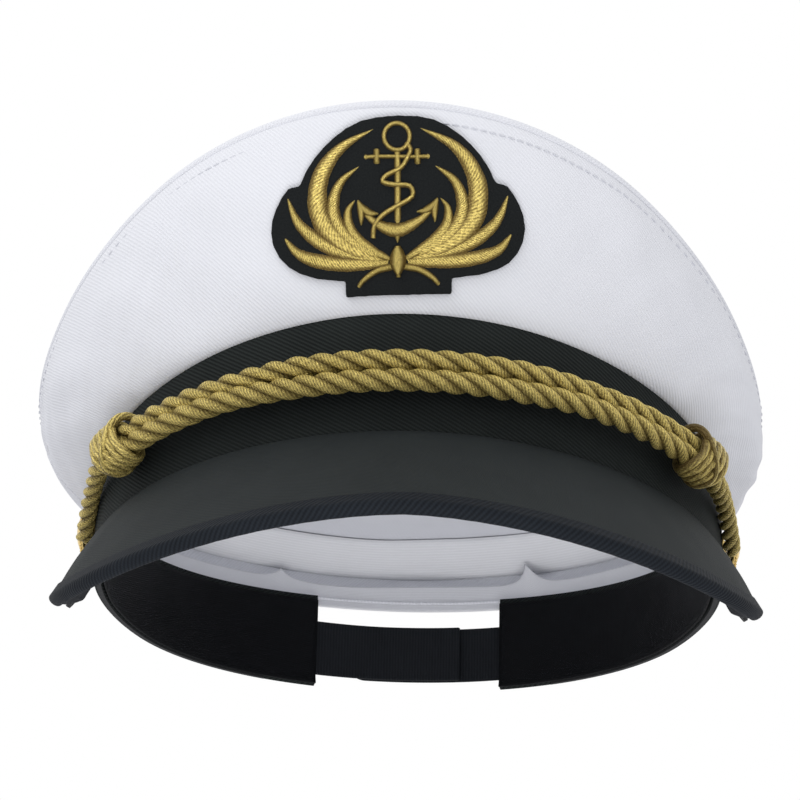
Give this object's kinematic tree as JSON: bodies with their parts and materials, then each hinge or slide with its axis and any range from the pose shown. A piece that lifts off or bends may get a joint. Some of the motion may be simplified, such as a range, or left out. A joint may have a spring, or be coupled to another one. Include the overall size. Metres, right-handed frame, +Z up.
{
  "type": "peaked cap",
  "caption": "Peaked captain style cap with a flared white crown, black band, sloping visor, doubled gold chin cord, side buttons, anchor badge and an adjustable back strap.",
  "frame": {"origin": "centre of the head opening, in the plane of the lower edge of the band at its sides and back", "axes": "+Z up through the crown, visor towards -Y, +X to the wearer's left"},
  "size_m": [0.2056, 0.259, 0.1154],
  "materials": {
    "white_twill": "woven twill",
    "black_twill": "woven twill",
    "white_tape": "plain woven",
    "black_webbing": "plain woven",
    "hook_loop": "pile",
    "stiffener": "matte",
    "visor_board": "matte",
    "buckram": "stiff open weave",
    "hoop_plastic": "matte",
    "gold_cord": "twisted lustrous yarn",
    "gold_metal": "polished",
    "black_felt": "felt",
    "gold_thread": "satin stitch"
  },
  "bodies": {
    "cap": {"band_cover": "black_twill", "band_stiffener": "stiffener", "sweatband": "black_webbing", "strap_left": "black_webbing", "strap_right_anchor": "black_webbing", "loop_pad": "hook_loop", "crown_front_panel": "white_twill", "crown_back_panel": "white_twill", "crown_top_panel": "white_twill", "crown_welt": "white_twill", "seam_tape": "white_tape", "front_buckram": "buckram", "crown_hoop": "hoop_plastic", "visor_top_cover": "black_twill", "visor_board": "visor_board", "visor_under_cover": "black_twill", "visor_binding": "black_twill", "upper_cord": "gold_cord", "lower_cord": "gold_cord", "left_eyelet": "gold_metal", "right_eyelet": "gold_metal", "badge_patch": "black_felt", "badge_anchor": "gold_thread", "badge_anchor_rope": "gold_thread", "badge_laurel_left": "gold_thread", "badge_laurel_right": "gold_thread", "badge_tie": "gold_thread"},
    "left_button": {"left_button_shell": "gold_metal", "left_button_shank": "gold_metal", "left_button_clip": "gold_metal"},
    "right_button": {"right_button_shell": "gold_metal", "right_button_shank": "gold_metal", "right_button_clip": "gold_metal"},
    "left_knot": {"left_knot": "gold_cord"},
    "right_knot": {"right_knot": "gold_cord"},
    "strap_tab": {"strap_right": "black_webbing", "hook_pad": "hook_loop"}
  },
  "joints": [
    {"name": "left_button_spin", "type": "hinge", "parent": "cap", "child": "left_button", "pos_m": [0.0887, -0.009, 0.0145], "axis": [1, 0, 0], "continuous": true},
    {"name": "right_button_spin", "type": "hinge", "parent": "cap", "child": "right_button", "pos_m": [-0.0887, -0.009, 0.0145], "axis": [-1, 0, 0], "continuous": true},
    {"name": "left_knot_slide", "type": "hinge", "parent": "cap", "child": "left_knot", "pos_m": [0, -0.019, 0.00608], "axis": [0, 0.2079, 0.9781], "range_deg": [-20, 0]},
    {"name": "right_knot_slide", "type": "hinge", "parent": "cap", "child": "right_knot", "pos_m": [0, -0.019, 0.00608], "axis": [0, 0.2079, 0.9781], "range_deg": [0, 20]},
    {"name": "strap_peel", "type": "hinge", "parent": "cap", "child": "strap_tab", "pos_m": [0.0296, 0.0983, 0.01235], "axis": [0, 0, -1], "range_deg": [0, 100]}
  ]
}
